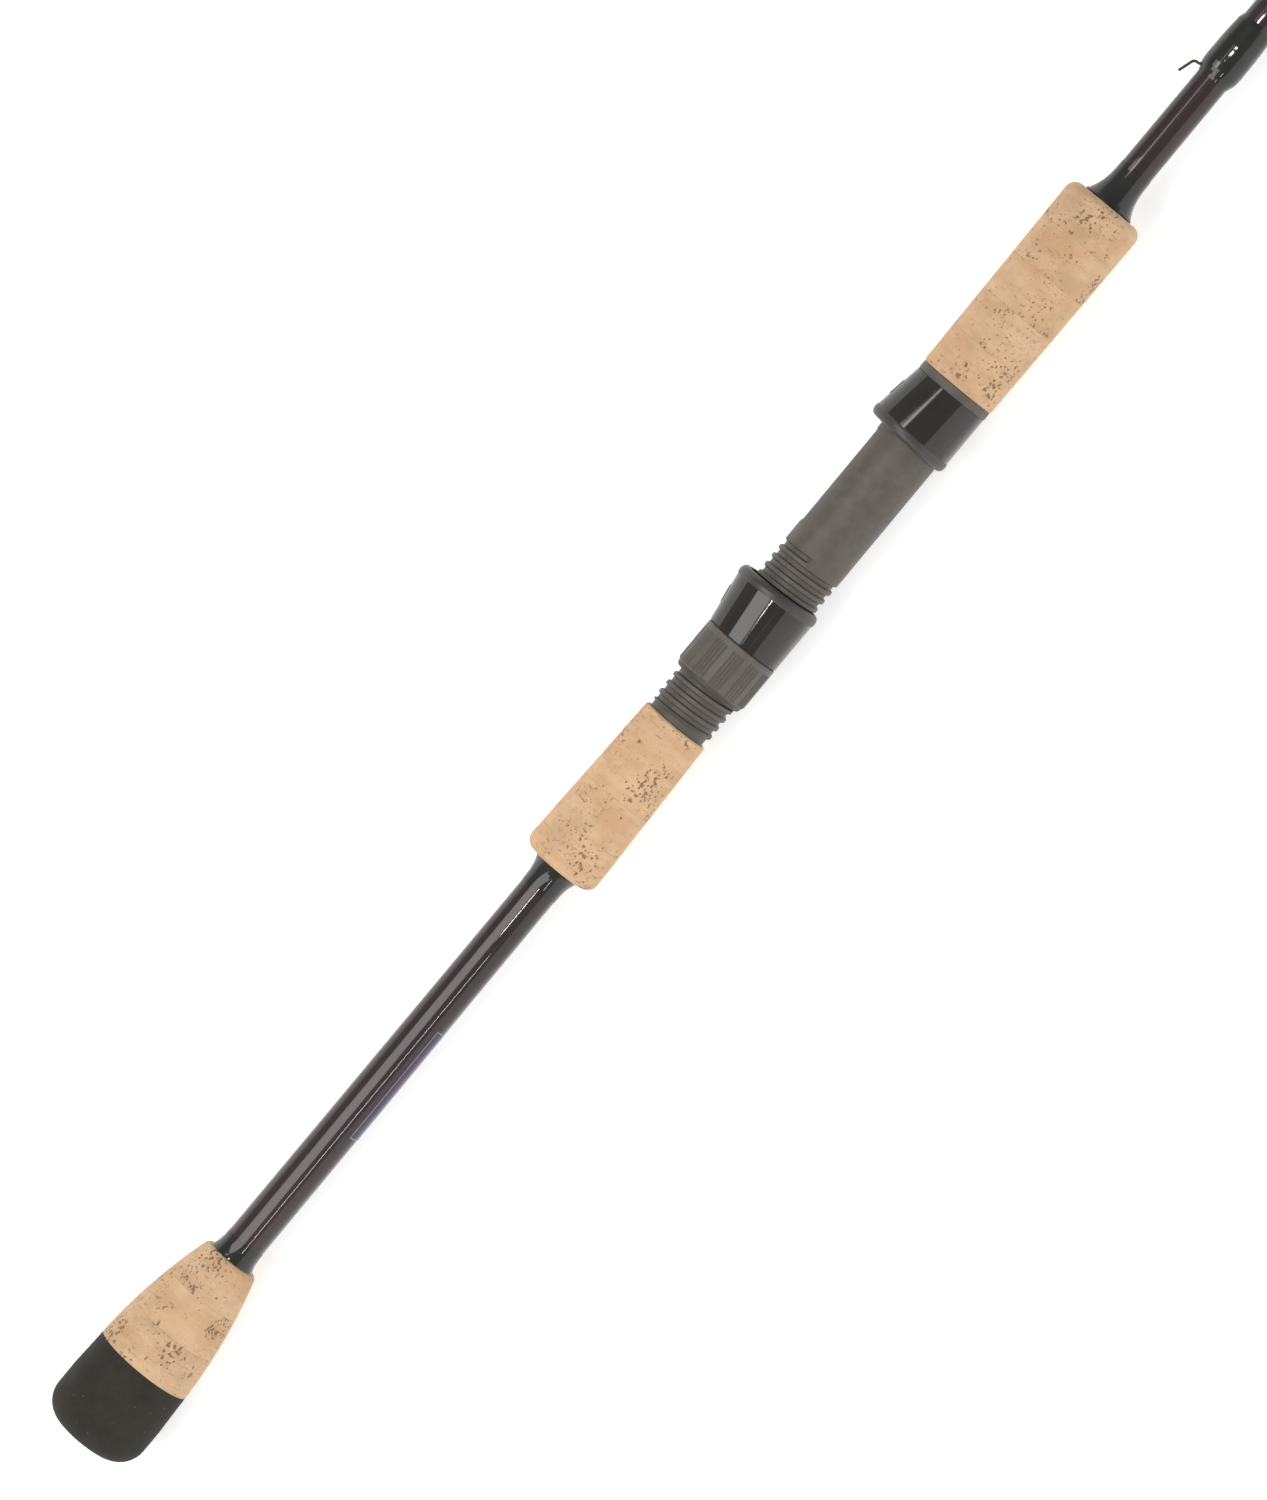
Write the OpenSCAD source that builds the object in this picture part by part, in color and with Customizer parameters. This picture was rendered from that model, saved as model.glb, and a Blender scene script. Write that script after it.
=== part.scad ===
// Spinning rod, one piece, with a split grip and a screw-locked reel seat.
// The blank lies along X with its tip at +X, and the reel and the guides hang on the +Y side.
// The origin is the middle of the flat land that the reel's foot rests on.
// Lengths are in millimetres, and "station" means the distance from the butt end along the blank.

/* [Rod] */
// Whole length from the butt end to the far edge of the tip ring
rod_length = 2032; // [1690:1:2440]
// Outer radius of the blank at its butt
blank_butt_r = 5.95; // [4.95:0.05:7.15]
// Outer radius of the blank at its tip
blank_tip_r = 0.95; // [0.8:0.05:1.2]
// Wall of the blank at its butt
blank_butt_wall = 1.2; // [0.8:0.05:1.6]
// Wall of the blank at its tip
blank_tip_wall = 0.5; // [0.3:0.05:0.6]

/* [Grips] */
// Length of one cork ring
cork_ring_len = 12.7; // [10.5:0.1:15.3]
// Length of the foam cap over the butt
butt_cap_len = 26.95; // [22:0.05:34]
// Largest radius of the butt cap
butt_cap_r = 15.1; // [14:0.1:18]
// Thickness of foam behind the end of the blank
butt_cap_web = 5; // [3:0.5:7]
// Radius of the butt grip where it meets the cap
butt_grip_r = 14.6; // [13.5:0.1:16]
// Radius of the butt grip at its front end
butt_grip_end_r = 8.3; // [7.8:0.1:10]
// Bare blank between the butt grip and the rear grip
split_gap = 140; // [80:1:220]
// Radius of the rear grip at its back end
rear_grip_r = 11.65; // [11:0.05:13]
// How far the rear grip's front end stands out beyond the seat's neck
rear_grip_step = 1.25; // [0.8:0.05:2.4]
// How far the foregrip's back end stands out beyond the front collar
fore_grip_step = 0.2; // [0:0.05:1.5]
// Radius of the foregrip near its front end
fore_grip_end_r = 12.2; // [11.4:0.05:14]
// Rounding of the free ends of the rear grip and the foregrip
grip_round = 3.2; // [2:0.1:3.6]

/* [Reel seat] */
// Length of the seat's moulded body
seat_len = 119.6; // [112:0.1:150]
// Radius of the smooth barrel and of the thread's crests
barrel_r = 9.64; // [9:0.02:11.6]
// Depth of the thread
thread_depth = 0.79; // [0.6:0.01:0.9]
// Pitch of the thread
thread_pitch = 3; // [2.5:0.1:3.6]
// Length of the threaded stretch, from the seat's back end
thread_run = 57.9; // [54:0.1:62]
// Wall of the seat's tube, from the bottom of the thread to the bore that the arbors fill
seat_wall = 1.65; // [1.5:0.05:2.2]
// Width of the flat land that the reel's foot rests on
bed_land_w = 5; // [4:0.1:6]

/* [Hoods] */
// Length of each hood's glossy shell
hood_len = 14.9; // [12.4:0.1:18]
// Distance from the barrel to the outside of a hood at its narrow end
hood_narrow_wall = 1.71; // [1.65:0.01:2.4]
// Growth of a hood's outer radius from its narrow end to its mouth
hood_flare = 1.15; // [0.8:0.05:2]
// How far the mouth's centre is raised towards the reel's foot
hood_rise = 1.15; // [0.8:0.05:1.6]
// Wall of the glossy shell
hood_wall = 0.8; // [0.6:0.05:0.9]
// Lean of the mouth, in degrees
mouth_lean = 2.8; // [0:0.1:5]
// Length of the soft lip in front of the shell
lip_len = 3; // [2:0.1:4]
// Least thickness of a hood's mouth around the pocket for the reel's foot
pocket_wall = 3.3; // [3.1:0.1:4.5]

/* [Locking nut] */
// Length of the nut
nut_len = 15.1; // [14:0.1:18]
// Distance from the barrel to the outside of the nut
nut_wall = 1.66; // [1.6:0.01:2.4]
// Distance of the nut from the seat's back end, at rest
nut_offset = 13.1; // [12.5:0.1:20]
// Turns that the nut can be screwed back towards the rear grip
nut_turns_back = 4; // [1:1:4]
// Turns that the nut can be screwed forward
nut_turns_forward = 10; // [4:1:10]

/* [Guides] */
// Width of a guide ring's ceramic, along the line
ring_width = 2.2; // [1.8:0.1:3]
// Radial thickness of the frame's band around the ceramic
band_wall = 0.8; // [0.6:0.1:1.2]
// Thickness of thread and varnish over a guide foot
wrap_cover = 0.3; // [0.15:0.05:0.5]

/* [Hook keeper] */
// Radius of the keeper's wire
keeper_wire_r = 0.42; // [0.35:0.01:0.6]
// Straight rise of the keeper's wire between its two bends
keeper_rise = 0.3; // [0.1:0.1:3]
// Length of the keeper's free arm
keeper_arm = 4.2; // [2:0.1:8]
// Slope of the keeper's free arm away from the blank, in degrees
keeper_slope = 17; // [0:1:40]
// Distance of the keeper's wrap from the foregrip
keeper_offset = 43.8; // [30:0.1:80]

/* [Hidden] */
$fn = 96;
butt_rings = 3;
rear_rings = 4;
fore_rings = 5;

// Colours
cork_colour = "#dcb68c";
foam_colour = "#3a3632";
blank_colour = "#2c2230";
wrap_colour = "#1b1c1b";
seat_colour = "#6a635b";
gloss_colour = "#22211f";
lip_colour = "#3d3935";
frame_colour = "#2a2a2c";
ceramic_colour = "#3b3c40";
wire_colour = "#3a3836";
arbor_colour = "#8c8c84";

// Stations, from the butt end
butt_grip_at = butt_cap_len;
butt_grip_end = butt_grip_at + butt_rings * cork_ring_len;
rear_grip_at = butt_grip_end + split_gap;
seat_at = rear_grip_at + rear_rings * cork_ring_len;
fore_grip_at = seat_at + seat_len;
fore_grip_end = fore_grip_at + fore_rings * cork_ring_len;

// Fits and small sizes
running = 0.16;
thread_play = 0.2;
part_gap = 0.4;
skin = 0.1;
root_r = barrel_r - thread_depth;
seat_bore_r = root_r - seat_wall;
hood_narrow_r = barrel_r + hood_narrow_wall;
hood_mouth_r = hood_narrow_r + hood_flare;
pocket_r = hood_mouth_r - pocket_wall;
rear_grip_end_r = root_r + rear_grip_step;
nut_r = barrel_r + nut_wall;
collar_len = 2.7;
collar_r = hood_narrow_r + 0.05;
fore_grip_r = collar_r + fore_grip_step;
core_r = seat_bore_r + 0.75;
hairline = 0.02;
barrel_skin = 0.02;

// Thread: the groove's half width at its floor, and the width of each flank
groove_half = 0.183 * thread_pitch;
flank = 0.15 * thread_pitch;
facets = 40;
first_ridge = 3.2;
thread_zero = seat_at + first_ridge - 2 * thread_pitch;
last_turn = (thread_run - first_ridge) / thread_pitch + 2;
thread_from = seat_at + 1.5;
thread_to = seat_at + thread_run + 2.5;

// Nut, hood and key
nut_at = seat_at + nut_offset;
nut_end = nut_at + nut_len;
hood_at = nut_end + part_gap;
snap_len = 3.2;
snap_r = barrel_r + running + 0.4;
snap_rim_r = snap_r + 0.3;
snap_rim_len = 1.2;
nut_recess_at = hood_at - snap_len - 0.7;
nut_bore_r = barrel_r + thread_play + 0.4;
key_w = 2.8;
key_play = 0.2;
key_len = 8;
key_r = root_r - 0.1;
keyway_r = key_r - 0.2;
keyway_end = hood_at - snap_len + key_len + nut_turns_forward * thread_pitch + 1;
fixed_hood_at = fore_grip_at - collar_len;

// Reel bed: a shallow flat on the barrel, between the thread and the fixed hood's lip
bed_y = sqrt(pow(barrel_r + barrel_skin, 2) - pow(bed_land_w / 2, 2));
bed_from = max(thread_to, keyway_end) + 0.5;
bed_to = fixed_hood_at - hood_len - lip_len - 2;
bed_at = (bed_from + bed_to) / 2;

// Keeper and label
keeper_at = fore_grip_end + keeper_offset;
keeper_wrap_len = 16;
label_len = 90;
label_cover = 0.2;

// Guides: distance from the tip, ceramic's outer diameter, height of the ring's centre
// over the blank's surface, and foot length
GUIDES = [
    [1067, 25, 29, 15],
    [851, 16, 18, 12],
    [648, 12, 12.5, 10],
    [470, 8, 7.5, 9],
    [324, 6, 5.6, 8],
    [203, 6, 5.2, 8],
    [102, 6, 5, 8]
];
double_foot_guides = 3;
tip_ring_d = 6;
tip_tube_len = 11;
tip_tube_r = 1.65;
tip_ring_at = rod_length - ring_width / 2 - 0.1;
blank_at = butt_cap_web;
blank_end = tip_ring_at - 2.2;

// Radius of the blank's outside and of its bore at a station
function along(s) = (s - blank_at) / (blank_end - blank_at);
function blank_r(s) = blank_butt_r + (blank_tip_r - blank_butt_r) * along(s);
function blank_wall(s) = blank_butt_wall + (blank_tip_wall - blank_butt_wall) * along(s);
function blank_bore(s) = blank_r(s) - blank_wall(s);

// Drop of a rounded edge of radius r at distance d from the end
function edge_drop(d, r) = d >= r ? 0 : r - sqrt(r * r - pow(r - d, 2));

// Outer radius of each grip at a station
function butt_grip_radius(s) =
    let (t = (s - butt_grip_at) / (butt_grip_end - butt_grip_at))
    butt_grip_r - (butt_grip_r - butt_grip_end_r) * (0.23 * t + 0.77 * t * t)
    - edge_drop(butt_grip_end - s, 1.2);
function rear_grip_radius(s) =
    let (t = (s - rear_grip_at) / (seat_at - rear_grip_at))
    rear_grip_r - (rear_grip_r - rear_grip_end_r) * t
    - edge_drop(s - rear_grip_at, grip_round) - edge_drop(seat_at - s, 0.6);
function fore_grip_radius(s) =
    let (t = (s - fore_grip_at) / (fore_grip_end - fore_grip_at))
    fore_grip_r + (fore_grip_end_r - fore_grip_r) * t
    - edge_drop(s - fore_grip_at, 0.4) - edge_drop(fore_grip_end - s, grip_round);

// Position i of n along 0 to 1, closer together at both ends so that rounded edges stay smooth
function eased(i, n) = (1 - cos(180 * i / n)) / 2;

// Moves what is drawn at its station into the part's own frame
module placed() {
    translate([-bed_at, -bed_y, 0]) children();
}

// A solid turned about the blank's axis from [station, radius] points
module turned(outline) {
    rotate([0, 90, 0]) rotate_extrude() polygon([for (p = outline) [p[1], p[0]]]);
}

// A solid cylinder or cone about the blank's axis, between two stations
module rod(from, to, r1, r2) {
    translate([from, 0, 0]) rotate([0, 90, 0]) cylinder(h = to - from, r1 = r1, r2 = r2);
}

// The blank's outside between two stations, grown by extra
module blank_solid(from, to, extra = 0) {
    rod(from, to, blank_r(from) + extra, blank_r(to) + extra);
}

// A sleeve that fits the blank: its outline gives [station, cover over the blank]
module sleeve(cover) {
    last = len(cover) - 1;
    turned(concat(
        [for (p = cover) [p[0], blank_r(p[0]) + p[1]]],
        [[cover[last][0], blank_r(cover[last][0])], [cover[0][0], blank_r(cover[0][0])]]
    ));
}

// A straight bar from one point to another, from radius r1 to radius r2
module bar(from, to, r1, r2) {
    run = to - from;
    length = norm(run);
    translate(from)
        rotate([0, acos(run[2] / length), atan2(run[1], run[0])])
            cylinder(h = length, r1 = r1, r2 = r2, $fn = 32);
}

// ---- Blank and grips ----

module blank() {
    color(blank_colour) placed() difference() {
        blank_solid(blank_at, blank_end);
        rod(blank_at - 1, blank_end + 1, blank_bore(blank_at - 1), blank_bore(blank_end + 1));
    }
}

module butt_cap() {
    corner = 8;
    steps = 10;
    color(foam_colour) placed() difference() {
        turned(concat(
            [[0, 0]],
            [for (i = [0:steps])
                let (a = 90 * i / steps)
                [0.2 + corner * (1 - cos(a)), butt_cap_r - corner + corner * sin(a)]],
            [[butt_cap_len - 11.5, butt_cap_r], [butt_cap_len - 7, butt_cap_r - 0.22]],
            [[butt_cap_len, butt_grip_r], [butt_cap_len, 0]]
        ));
        blank_solid(blank_at, butt_cap_len + 1);
    }
}

// One cork ring of a grip, given the radii of its outside from end to end
module cork_ring(from, radii) {
    count = len(radii) - 1;
    color(cork_colour) placed() difference() {
        turned(concat(
            [for (i = [0:count]) [from + cork_ring_len * eased(i, count), radii[i]]],
            [[from + cork_ring_len, 0], [from, 0]]
        ));
        blank_solid(from - 1, from + cork_ring_len + 1);
    }
}

module butt_cork(index) {
    steps = 12;
    from = butt_grip_at + (index - 1) * cork_ring_len;
    cork_ring(from, [for (i = [0:steps]) butt_grip_radius(from + cork_ring_len * eased(i, steps))]);
}

module rear_cork(index) {
    steps = index == 1 ? 16 : 8;
    from = rear_grip_at + (index - 1) * cork_ring_len;
    cork_ring(from, [for (i = [0:steps]) rear_grip_radius(from + cork_ring_len * eased(i, steps))]);
}

module fore_cork(index) {
    steps = index == fore_rings ? 16 : 8;
    from = fore_grip_at + (index - 1) * cork_ring_len;
    cork_ring(from, [for (i = [0:steps]) fore_grip_radius(from + cork_ring_len * eased(i, steps))]);
}

// Thread wrap under varnish that flares up to a grip's end face.
// side is 1 where the grip is at the wrap's +X end and -1 where it is at the other end.
module flared_wrap(at, length, height, side) {
    steps = 10;
    cover = [for (i = [0:steps])
        let (t = i / steps)
        [at + side * length * t, skin + (height - skin) * pow(t, 3)]];
    color(wrap_colour) placed()
        sleeve(side > 0 ? cover : [for (i = [steps:-1:0]) cover[i]]);
}

module butt_trim_wrap() {
    wrap_len = 6;
    flared_wrap(butt_grip_end + wrap_len, wrap_len, 1.15, -1);
}

module rear_trim_wrap() {
    wrap_len = 8;
    flared_wrap(rear_grip_at - wrap_len, wrap_len, 1.7, 1);
}

module winding_check() {
    color(lip_colour) placed() difference() {
        turned([
            [fore_grip_end, 0], [fore_grip_end, blank_r(fore_grip_end) + 2.8],
            [fore_grip_end + 0.4, blank_r(fore_grip_end) + 2.8],
            [fore_grip_end + 0.6, blank_r(fore_grip_end) + 2.6], [fore_grip_end + 0.6, 0]
        ]);
        blank_solid(fore_grip_end - 1, fore_grip_end + 2);
    }
}

module front_trim_wrap() {
    wrap_len = 11.5;
    flared_wrap(fore_grip_end + 0.6 + wrap_len, wrap_len, 2.5, -1);
}

// ---- Reel seat ----

// A faceted sleeve between two stations, with a right-hand helix on one side and a plain prism
// on the other. edges are the four offsets of one groove or ridge from its middle. rest and cut
// are the radii away from the groove or ridge and in it, and the helix is cut between the turns
// begin and end, counted from zero. lead is the radius before it starts.
module threaded_sleeve(zero, from, to, edges, rest, cut, begin, end, lead, plain, outside) {
    first = floor((from - zero) / thread_pitch) - 2;
    turns = ceil((to - zero) / thread_pitch) + 2 - first;
    rows = 4 * turns;
    last = facets - 1;
    function spot(s, r, column) = [s, r * cos(360 * column / facets), r * sin(360 * column / facets)];
    function turn(row, column) = first + floor(row / 4) + column / facets;
    function station(row, column) = zero + thread_pitch * turn(row, column) + edges[row % 4];
    function radius(row, column) =
        turn(row, column) < begin ? lead :
        turn(row, column) > end || row % 4 == 0 || row % 4 == 3 ? rest : cut;
    helix = [for (row = [0:rows], column = [0:last])
        spot(station(row, column), radius(row, column), column)];
    rings = [for (ring = [[from, lead], [to, rest], [from, plain], [to, plain]], column = [0:last])
        spot(ring[0], ring[1], column)];
    count = len(helix);
    function g(ring, column) = count + ring * facets + column % facets;
    // Rows outside the two ends collapse onto the end rings
    function h(row, column) =
        column == facets ? h(row + 4, 0) :
        row > rows || station(row, column) >= to ? g(1, column) :
        station(row, column) <= from ? g(0, column) : row * facets + column;
    skin_faces = [for (column = [0:last], row = [0:rows - 1])
        let (a = h(row, column), b = h(row + 1, column),
            c = h(row + 1, column + 1), d = h(row, column + 1))
        each [if (a != b && b != c && a != c) [a, b, c], if (a != c && c != d && a != d) [a, c, d]]];
    prism = [for (column = [0:last])
        each [[g(2, column), g(3, column + 1), g(3, column)],
              [g(2, column), g(2, column + 1), g(3, column + 1)],
              [g(0, column), g(0, column + 1), g(2, column + 1)],
              [g(0, column), g(2, column + 1), g(2, column)],
              [g(1, column), g(3, column + 1), g(1, column + 1)],
              [g(1, column), g(3, column), g(3, column + 1)]]];
    faces = concat(skin_faces, prism);
    polyhedron(
        points = concat(helix, rings),
        faces = outside ? [for (f = faces) [f[2], f[1], f[0]]] : faces,
        convexity = 10);
}

// The slot for the hood's key, along the side that faces -Z
module keyway() {
    translate([seat_at - 1, -key_w / 2 - key_play, -barrel_r - 2])
        cube([keyway_end - seat_at + 1, key_w + 2 * key_play, barrel_r + 2 - keyway_r]);
}

// The seat's tube, with its plain neck at the back and its smooth barrel in front
module seat_body() {
    full_r = barrel_r + barrel_skin;
    color(seat_colour) placed() difference() {
        turned([
            [seat_at, seat_bore_r], [seat_at, root_r], [thread_from, root_r],
            [thread_from, core_r], [thread_to, core_r], [thread_to, full_r],
            [fore_grip_at, full_r], [fore_grip_at, seat_bore_r]
        ]);
        keyway();
        translate([bed_from, bed_y, -bed_land_w])
            cube([bed_to - bed_from, 2, 2 * bed_land_w]);
    }
}

// The thread, moulded over the seat's tube
module seat_thread() {
    edges = [-groove_half - flank, -groove_half, groove_half, groove_half + flank];
    inner_r = (core_r + hairline) / cos(180 / facets);
    color(seat_colour) placed() difference() {
        threaded_sleeve(thread_zero, thread_from, thread_to, edges, barrel_r, root_r,
            1.5, last_turn, root_r, inner_r, true);
        keyway();
    }
}

// One of the rings that centre the blank in the seat
module seat_arbor(middle) {
    arbor_len = 14;
    color(arbor_colour) placed() difference() {
        rod(middle - arbor_len / 2, middle + arbor_len / 2, seat_bore_r, seat_bore_r);
        blank_solid(middle - arbor_len, middle + arbor_len);
    }
}

// Hood shapes are drawn with the narrow end at 0 and the mouth towards +X.
// A hood is a cone whose axis leans towards the reel's foot.
module leaning_cone(shrink) {
    widening = (hood_mouth_r - hood_narrow_r) / hood_len;
    spare = 6;
    rotate([0, 0, atan(hood_rise / hood_len)])
        rod(-spare, hood_len + spare,
            hood_narrow_r - shrink - widening * spare, hood_mouth_r - shrink + widening * spare);
}

// Puts its children on the leaning plane of the mouth
module at_mouth() {
    translate([hood_len, hood_rise, 0]) rotate([0, 0, mouth_lean]) children();
}

// Everything beyond the hood's two end planes
module outside_hood() {
    at_mouth() translate([0, -40, -40]) cube(80);
    translate([-80, -40, -40]) cube(80);
}

module hood_shell() {
    color(gloss_colour) difference() {
        leaning_cone(0);
        leaning_cone(hood_wall);
        outside_hood();
    }
}

// The soft lip and lining, before its bore is cut
module hood_lining() {
    lip_r = hood_mouth_r + 0.25;
    lap = 0.6;
    difference() {
        leaning_cone(hood_wall);
        outside_hood();
    }
    at_mouth() turned([
        [-lap, 0], [-lap, hood_mouth_r - hood_wall - 0.2], [0, hood_mouth_r - hood_wall - 0.2],
        [0, lip_r - 0.15], [0.5, lip_r], [lip_len * 0.5, lip_r],
        [lip_len * 0.75, lip_r - 0.25], [lip_len * 0.92, lip_r - 0.65],
        [lip_len, lip_r - 1.1], [lip_len, 0]
    ]);
}

// The pocket that takes one end of the reel's foot
module foot_pocket() {
    depth = hood_len + lip_len + 2;
    translate([2.6, 0.6, 0]) rotate([0, 90, 7.2]) cylinder(h = depth, r = pocket_r);
}

module fixed_hood_place() {
    placed() translate([fixed_hood_at, 0, 0]) mirror([1, 0, 0]) children();
}

module fixed_hood_shell() {
    fixed_hood_place() hood_shell();
}

module fixed_hood_liner() {
    color(lip_colour) fixed_hood_place() difference() {
        hood_lining();
        rod(-1, hood_len + 10, barrel_r + barrel_skin, barrel_r + barrel_skin);
        foot_pocket();
    }
}

module front_collar() {
    color(seat_colour) placed() difference() {
        turned([
            [fixed_hood_at, 0], [fixed_hood_at, collar_r - 0.2], [fixed_hood_at + 0.3, collar_r],
            [fore_grip_at - 0.3, collar_r], [fore_grip_at, collar_r - 0.2], [fore_grip_at, 0]
        ]);
        rod(fixed_hood_at - 1, fore_grip_at + 1, barrel_r + barrel_skin, barrel_r + barrel_skin);
    }
}

module sliding_hood_shell() {
    placed() translate([hood_at, 0, 0]) hood_shell();
}

module sliding_hood_liner() {
    bore_r = barrel_r + barrel_skin + running;
    color(lip_colour) placed() translate([hood_at, 0, 0]) {
        difference() {
            union() {
                hood_lining();
                rod(-snap_len, 1, snap_r, snap_r);
                rod(-snap_len, -snap_len + snap_rim_len, snap_rim_r, snap_rim_r);
            }
            rod(-snap_len - 1, hood_len + 10, bore_r, bore_r);
            foot_pocket();
        }
        intersection() {
            translate([-snap_len, -key_w / 2, -bore_r - 0.2])
                cube([key_len, key_w, bore_r + 0.2 - key_r]);
            rod(-snap_len - 1, key_len, bore_r + 0.2, bore_r + 0.2);
        }
    }
}

module locking_nut() {
    recess_r = snap_r + 0.15;
    groove_count = 12;
    rear_len = 2.1;
    rear_r = nut_r - 0.55;
    color(seat_colour) placed() difference() {
        turned([
            [nut_at, 0], [nut_at, rear_r - 0.8], [nut_at + 0.25, rear_r - 0.3],
            [nut_at + 0.8, rear_r], [nut_at + rear_len - 0.7, rear_r + 0.1],
            [nut_at + rear_len, nut_r], [nut_end - 0.3, nut_r],
            [nut_end, nut_r - 0.2], [nut_end, 0]
        ]);
        rod(nut_at - 1, nut_recess_at, nut_bore_r, nut_bore_r);
        rod(nut_recess_at - 0.1, nut_end + 1, recess_r, recess_r);
        rod(hood_at - snap_len - 0.3, hood_at - snap_len + snap_rim_len + 0.2,
            snap_rim_r + 0.15, snap_rim_r + 0.15);
        for (group = [0:groove_count - 1], line = [-1.5:1.5])
            rotate([360 / groove_count * group + 6 + 5.3 * line, 0, 0])
                translate([0, nut_r + 0.1, 0])
                    rod(nut_at + 1.6, nut_end - 1.9, 0.36, 0.36, $fn = 24);
    }
}

// Threaded insert inside the nut
module nut_thread() {
    ridge_low = root_r + 0.22;
    ridge_high = barrel_r + thread_play;
    slope = flank / thread_depth;
    tip_half = groove_half + (ridge_low - root_r) * slope - thread_play;
    base_half = groove_half + (ridge_high - root_r) * slope - thread_play;
    margin = base_half + 0.2;
    color(seat_colour) placed()
        threaded_sleeve(thread_zero, nut_at + 0.3, nut_recess_at,
            [-base_half, -tip_half, tip_half, base_half], ridge_high, ridge_low,
            (nut_at + 0.3 + margin - thread_zero) / thread_pitch,
            (nut_recess_at - margin - thread_zero) / thread_pitch,
            ridge_high, nut_bore_r - hairline, false);
}

// ---- Hook keeper ----

// A bend of wire in the XY plane about the origin, from angle a to angle b
module wire_bend(bend_r, a, b) {
    rotate([0, 0, a]) rotate_extrude(angle = b - a) translate([bend_r, 0]) circle(keeper_wire_r, $fn = 32);
}

// A straight stretch of wire that laps a little way into the bends at its ends
module wire_run(from, to) {
    lap = 0.05 * (to - from) / norm(to - from);
    bar(from - lap, to + lap, keeper_wire_r - 0.01, keeper_wire_r - 0.01);
}

module keeper_wire_shape() {
    foot_len = keeper_wrap_len - 3;
    bend_low = keeper_wire_r + 0.4;
    bend_high = keeper_wire_r + 0.8;
    low_y = blank_r(keeper_at) + keeper_wire_r;
    turn_y = low_y + bend_low + keeper_rise;
    rise_at = keeper_at + 1.2;
    arm_from = [rise_at - bend_high * (1 - sin(keeper_slope)), turn_y + bend_high * cos(keeper_slope), 0];
    arm_to = arm_from + keeper_arm * [-cos(keeper_slope), sin(keeper_slope), 0];
    wire_run([rise_at + bend_low + foot_len, low_y, 0], [rise_at + bend_low, low_y, 0]);
    translate([rise_at + bend_low, low_y + bend_low, 0]) wire_bend(bend_low, 180, 270);
    wire_run([rise_at, low_y + bend_low, 0], [rise_at, turn_y, 0]);
    translate([rise_at - bend_high, turn_y, 0]) wire_bend(bend_high, 0, 90 - keeper_slope);
    wire_run(arm_from, arm_to);
}

module hook_keeper() {
    color(wire_colour) placed() keeper_wire_shape();
}

module keeper_wrap() {
    color(wrap_colour) placed() difference() {
        sleeve([
            [keeper_at, skin], [keeper_at + 0.8, 0.35], [keeper_at + 2, 0.85],
            [keeper_at + 3.2, 1.1], [keeper_at + 5, 1.2], [keeper_at + 11, 1.15],
            [keeper_at + 14, 1.05], [keeper_at + keeper_wrap_len + 2, 0.8],
            [keeper_at + keeper_wrap_len + 3.4, label_cover + 0.1]
        ]);
        keeper_wire_shape();
    }
}

module label_coat() {
    from = keeper_at + keeper_wrap_len + 3.4;
    color(blank_colour) placed()
        sleeve([[from, label_cover], [from + label_len - 1.5, label_cover], [from + label_len, 0.06]]);
}

// ---- Guides ----

// Station of a guide, and the height of its ring's centre over the blank's axis
function guide_at(index) = rod_length - GUIDES[index - 1][0];
function ring_y(index) = blank_r(guide_at(index)) + GUIDES[index - 1][2];
function ring_r(index) = GUIDES[index - 1][1] / 2;
function ring_bore(outer) = outer * 0.78;
function leg_r(index) = 0.45 + 0.03 * GUIDES[index - 1][1];

// Ceramic ring about an X axis through the origin, with a short straight land in its bore
module ceramic(outer) {
    bore = ring_bore(outer);
    half = ring_width / 2;
    depth = min(outer - bore - 0.25, half);
    land = 0.3;
    steps = 6;
    color(ceramic_colour) turned(concat(
        [for (i = [0:steps])
            let (a = 90 * i / steps)
            [-land - (half - land) * cos(a), bore + depth * (1 - sin(a))]],
        [for (i = [0:steps])
            let (a = 90 * i / steps)
            [land + (half - land) * sin(a), bore + depth * (1 - cos(a))]],
        [[half, outer - 0.15], [half - 0.15, outer], [0.15 - half, outer], [-half, outer - 0.15]]
    ));
}

// Rim of a frame that holds a ceramic ring, before its bore is cut
module ring_rim(outer) {
    half = ring_width / 2 - 0.2;
    turned([
        [-half, 0], [-half, outer + band_wall * 0.6], [-half * 0.6, outer + band_wall],
        [half * 0.6, outer + band_wall], [half, outer + band_wall * 0.6], [half, 0]
    ]);
}

// A tapered foot that lies along the blank from one station to another, before the blank is cut away
module foot(from, to, thick, thin, width) {
    low = min(from, to);
    high = max(from, to);
    low_cover = from < to ? thick : thin;
    high_cover = from < to ? thin : thick;
    intersection() {
        rod(low, high, blank_r(low) + low_cover, blank_r(high) + high_cover);
        translate([low - 1, 0, -width / 2]) cube([high - low + 2, 40, width]);
    }
}

// Sizes of one guide's frame
function foot_len(index) = GUIDES[index - 1][3];
function foot_gap(index) = GUIDES[index - 1][2] * 0.55;
function foot_w(index) = 2 * leg_r(index) + 1.2;
function foot_thick(index) = 0.6 + 0.016 * GUIDES[index - 1][1];
function foot_start(index) = foot_gap(index) - 2 * leg_r(index) - 0.3;

// Leg from the rim, at an angle from its lowest point, down to a foot at a station
module leg(index, angle, station, spread) {
    grip_r = ring_r(index) + band_wall / 2;
    top = [guide_at(index), ring_y(index) - grip_r * cos(angle), grip_r * sin(angle)];
    toe = [station, blank_r(station) + foot_thick(index) * 0.3, spread];
    bar(top, toe, leg_r(index) * 0.75, leg_r(index));
}

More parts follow.
